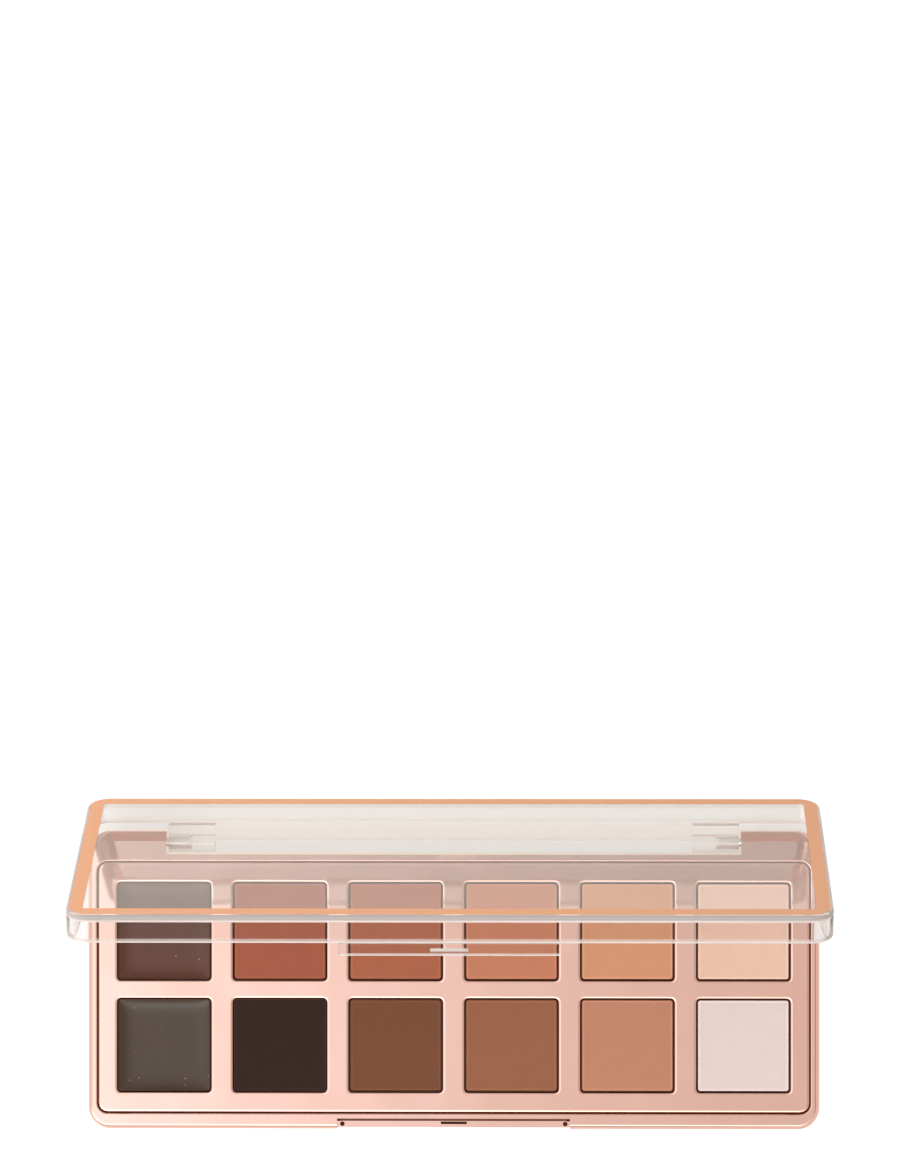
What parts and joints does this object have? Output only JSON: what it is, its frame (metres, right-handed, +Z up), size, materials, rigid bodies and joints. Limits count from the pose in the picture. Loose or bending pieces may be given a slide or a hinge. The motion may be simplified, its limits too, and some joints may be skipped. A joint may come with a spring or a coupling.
{
  "type": "eyeshadow palette",
  "caption": "Slim rectangular eyeshadow palette: metallised base and tray of square pans of powder and cream, under a clear hinged lid with a foil border.",
  "frame": {"origin": "middle of the base's flat underside", "axes": "+X along the palette's length to the right, +Y towards the hinge, +Z up out of the pans"},
  "size_m": [0.1262, 0.057, 0.0533],
  "materials": {
    "rose_gold_plating": "moulded plastic with a bright rose-gold metallised coat",
    "clear_plastic": "clear polished moulding",
    "copper_foil": "hot-stamped satin copper foil",
    "pan_metal": "pressed, plain",
    "pin_steel": "drawn wire",
    "hot_glue": "set glue",
    "label_paper": "matte, bare",
    "shade_back_1": "poured cream, soft gloss",
    "shade_back_2": "pressed powder, matte",
    "shade_back_3": "pressed powder, matte",
    "shade_back_4": "pressed powder, matte",
    "shade_back_5": "pressed powder, matte",
    "shade_back_6": "pressed powder, matte",
    "shade_front_1": "poured cream, soft gloss",
    "shade_front_2": "pressed powder, matte",
    "shade_front_3": "pressed powder, matte",
    "shade_front_4": "pressed powder, matte",
    "shade_front_5": "pressed powder, matte",
    "shade_front_6": "pressed powder, matte"
  },
  "bodies": {
    "base": {"base_shell": "rose_gold_plating", "pan_tray": "rose_gold_plating", "base_label": "label_paper", "glue_dots": "hot_glue", "hinge_pin_left": "pin_steel", "hinge_pin_right": "pin_steel", "pan_back_1": "pan_metal", "cream_back_1": "shade_back_1", "pan_back_2": "pan_metal", "powder_back_2": "shade_back_2", "pan_back_3": "pan_metal", "powder_back_3": "shade_back_3", "pan_back_4": "pan_metal", "powder_back_4": "shade_back_4", "pan_back_5": "pan_metal", "powder_back_5": "shade_back_5", "pan_back_6": "pan_metal", "powder_back_6": "shade_back_6", "pan_front_1": "pan_metal", "cream_front_1": "shade_front_1", "pan_front_2": "pan_metal", "powder_front_2": "shade_front_2", "pan_front_3": "pan_metal", "powder_front_3": "shade_front_3", "pan_front_4": "pan_metal", "powder_front_4": "shade_front_4", "pan_front_5": "pan_metal", "powder_front_5": "shade_front_5", "pan_front_6": "pan_metal", "powder_front_6": "shade_front_6"},
    "lid": {"clear_lid": "clear_plastic", "lid_foil_border": "copper_foil"}
  },
  "joints": [
    {"name": "lid_hinge", "type": "hinge", "parent": "base", "child": "lid", "pos_m": [0, 0.0233, 0.0049], "axis": [-1, 0, 0], "range_deg": [-70, 35]}
  ]
}
